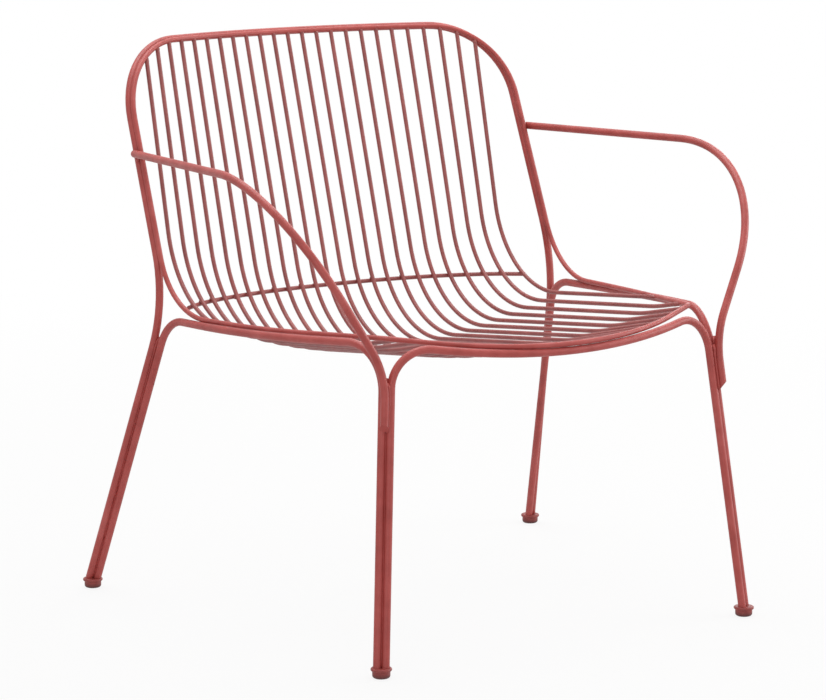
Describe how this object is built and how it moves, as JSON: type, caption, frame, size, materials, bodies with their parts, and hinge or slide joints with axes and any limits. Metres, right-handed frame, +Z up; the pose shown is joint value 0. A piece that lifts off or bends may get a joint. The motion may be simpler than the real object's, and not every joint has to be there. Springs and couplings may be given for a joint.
{
  "type": "garden armchair",
  "caption": "Low welded steel rod garden armchair with a dished wire seat and back, bowed armrests and leaning legs on round glides.",
  "frame": {"origin": "on the floor, under the middle of the overall width and depth", "axes": "+X to the right as seen from the front, -Y to the front, +Z up"},
  "size_m": [0.7324, 0.6799, 0.722],
  "materials": {
    "red_powder_coat": "fine textured satin powder coat",
    "glide_plastic": "moulded satin"
  },
  "bodies": {
    "root": {"arm_left": "red_powder_coat", "arm_right": "red_powder_coat", "back_hoop": "red_powder_coat", "cross_wire": "red_powder_coat", "front_frame": "red_powder_coat", "glide_front_left": "glide_plastic", "glide_front_right": "glide_plastic", "glide_rear_left": "glide_plastic", "glide_rear_right": "glide_plastic", "seat_rim": "red_powder_coat", "seat_wire_01": "red_powder_coat", "seat_wire_02": "red_powder_coat", "seat_wire_03": "red_powder_coat", "seat_wire_04": "red_powder_coat", "seat_wire_05": "red_powder_coat", "seat_wire_06": "red_powder_coat", "seat_wire_07": "red_powder_coat", "seat_wire_08": "red_powder_coat", "seat_wire_09": "red_powder_coat", "seat_wire_10": "red_powder_coat", "seat_wire_11": "red_powder_coat", "seat_wire_12": "red_powder_coat", "seat_wire_13": "red_powder_coat", "seat_wire_14": "red_powder_coat", "seat_wire_15": "red_powder_coat", "seat_wire_16": "red_powder_coat", "seat_wire_17": "red_powder_coat", "seat_wire_18": "red_powder_coat", "seat_wire_19": "red_powder_coat", "seat_wire_20": "red_powder_coat", "seat_wire_21": "red_powder_coat", "seat_wire_22": "red_powder_coat", "seat_wire_23": "red_powder_coat", "seat_wire_24": "red_powder_coat", "side_frame_left": "red_powder_coat", "side_frame_right": "red_powder_coat"}
  },
  "joints": []
}
